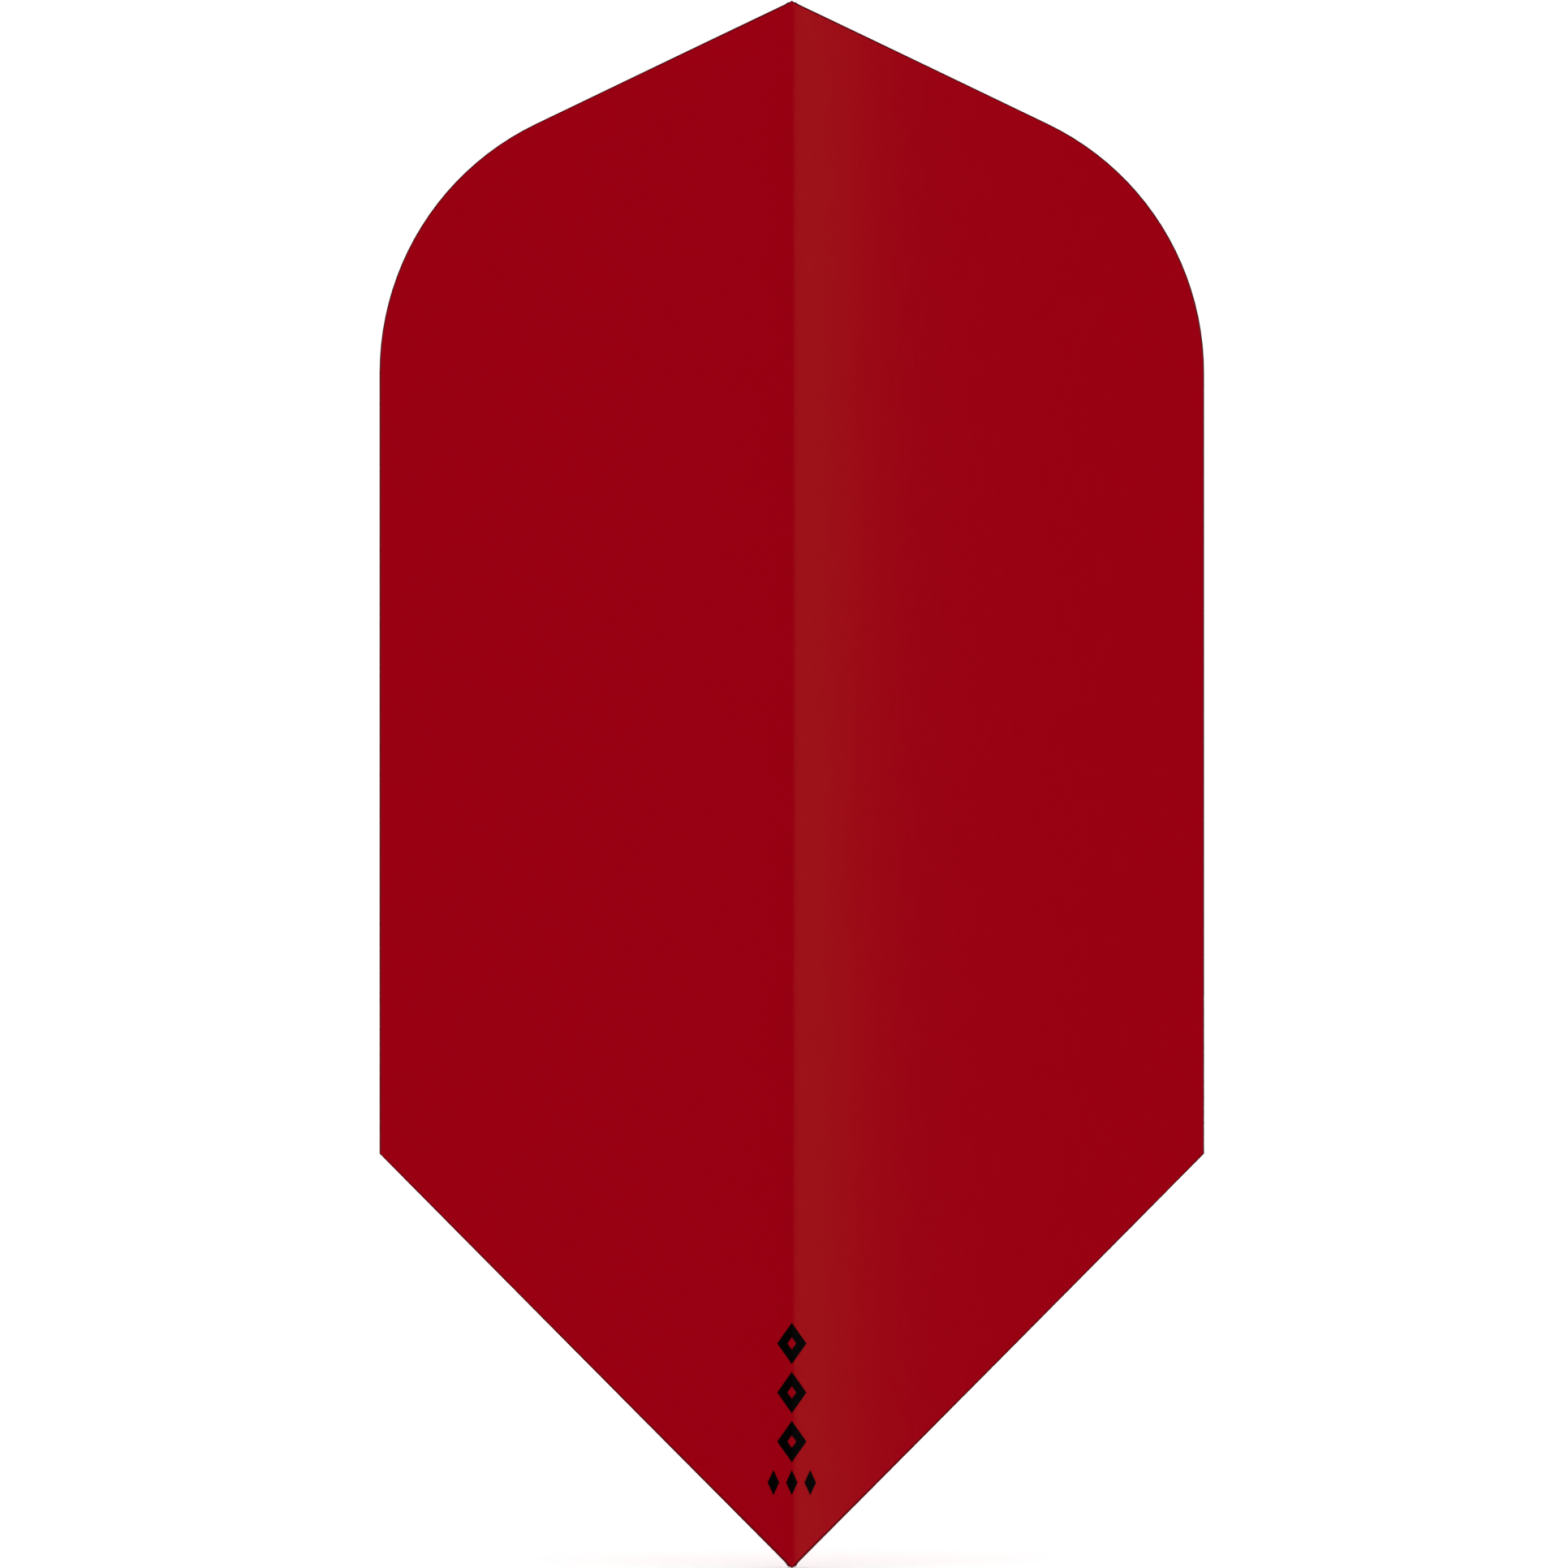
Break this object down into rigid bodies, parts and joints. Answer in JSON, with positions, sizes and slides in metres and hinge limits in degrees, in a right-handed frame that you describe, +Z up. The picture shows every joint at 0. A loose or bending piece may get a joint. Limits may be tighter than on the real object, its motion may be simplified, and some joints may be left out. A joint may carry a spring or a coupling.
{
  "type": "dart flight",
  "caption": "Slim dart flight of laminated red film, with wings that fold about a shared spine and a pointed nose that slides into a dart stem.",
  "frame": {"origin": "the pointed stem end of the spine, where the nose edges of all wings meet", "axes": "+Z runs up the spine to the tail, -Y is the printed front, and the relaxed wings spread along +X and -X"},
  "size_m": [0.0242, 0.0032, 0.046],
  "materials": {
    "film": "satin",
    "adhesive": "satin",
    "ink": "satin"
  },
  "bodies": {
    "spine": {"front_crease": "film", "back_crease": "film", "left_crease": "film", "right_crease": "film", "printed_marks_centre": "ink"},
    "front_left_wing": {"front_film_left_panel": "film", "front_left_adhesive": "adhesive", "left_film_front_panel": "film", "printed_marks_left": "ink"},
    "front_right_wing": {"front_film_right_panel": "film", "front_right_adhesive": "adhesive", "right_film_front_panel": "film", "printed_marks_right": "ink"},
    "back_left_wing": {"back_film_left_panel": "film", "back_left_adhesive": "adhesive", "left_film_back_panel": "film"},
    "back_right_wing": {"back_film_right_panel": "film", "back_right_adhesive": "adhesive", "right_film_back_panel": "film"}
  },
  "joints": [
    {"name": "front_left_fold", "type": "hinge", "parent": "spine", "child": "front_left_wing", "pos_m": [0, 0, 0], "axis": [0, 0, 1], "range_deg": [-6, 39], "stiffness_Nm_per_rad": 0.0002, "deforming": ["front_crease", "left_crease", "printed_marks_centre"]},
    {"name": "front_right_fold", "type": "hinge", "parent": "spine", "child": "front_right_wing", "pos_m": [0, 0, 0], "axis": [0, 0, -1], "range_deg": [-6, 39], "stiffness_Nm_per_rad": 0.0002, "deforming": ["front_crease", "right_crease", "printed_marks_centre"]},
    {"name": "back_left_fold", "type": "hinge", "parent": "spine", "child": "back_left_wing", "pos_m": [0, 0, 0], "axis": [0, 0, -1], "range_deg": [-6, 39], "stiffness_Nm_per_rad": 0.0002, "deforming": ["back_crease", "left_crease"]},
    {"name": "back_right_fold", "type": "hinge", "parent": "spine", "child": "back_right_wing", "pos_m": [0, 0, 0], "axis": [0, 0, 1], "range_deg": [-6, 39], "stiffness_Nm_per_rad": 0.0002, "deforming": ["back_crease", "right_crease"]}
  ]
}
